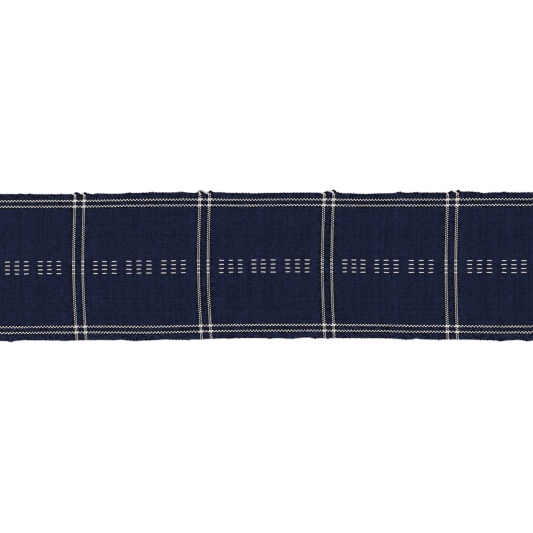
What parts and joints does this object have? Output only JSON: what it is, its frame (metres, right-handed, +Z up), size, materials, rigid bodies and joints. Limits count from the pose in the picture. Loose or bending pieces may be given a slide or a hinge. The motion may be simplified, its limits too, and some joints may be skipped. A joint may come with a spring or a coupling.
{
  "type": "woven trim tape",
  "caption": "Flat cut length of plain-woven cotton trim tape with uneven selvedges and rows of raised warp floats along its middle.",
  "frame": {"origin": "under the middle of the tape, on the surface that it lies on", "axes": "+X along the tape, +Y across it towards the selvedge where the white weft is carried over, +Z up out of its face"},
  "size_m": [0.414, 0.1052, 0.0014],
  "materials": {
    "cloth": "matt plain-woven cotton, dark navy",
    "white_yarn": "matt ivory white cotton yarn of the borders, bands and floats"
  },
  "bodies": {
    "root": {"tape": "cloth"}
  },
  "joints": []
}
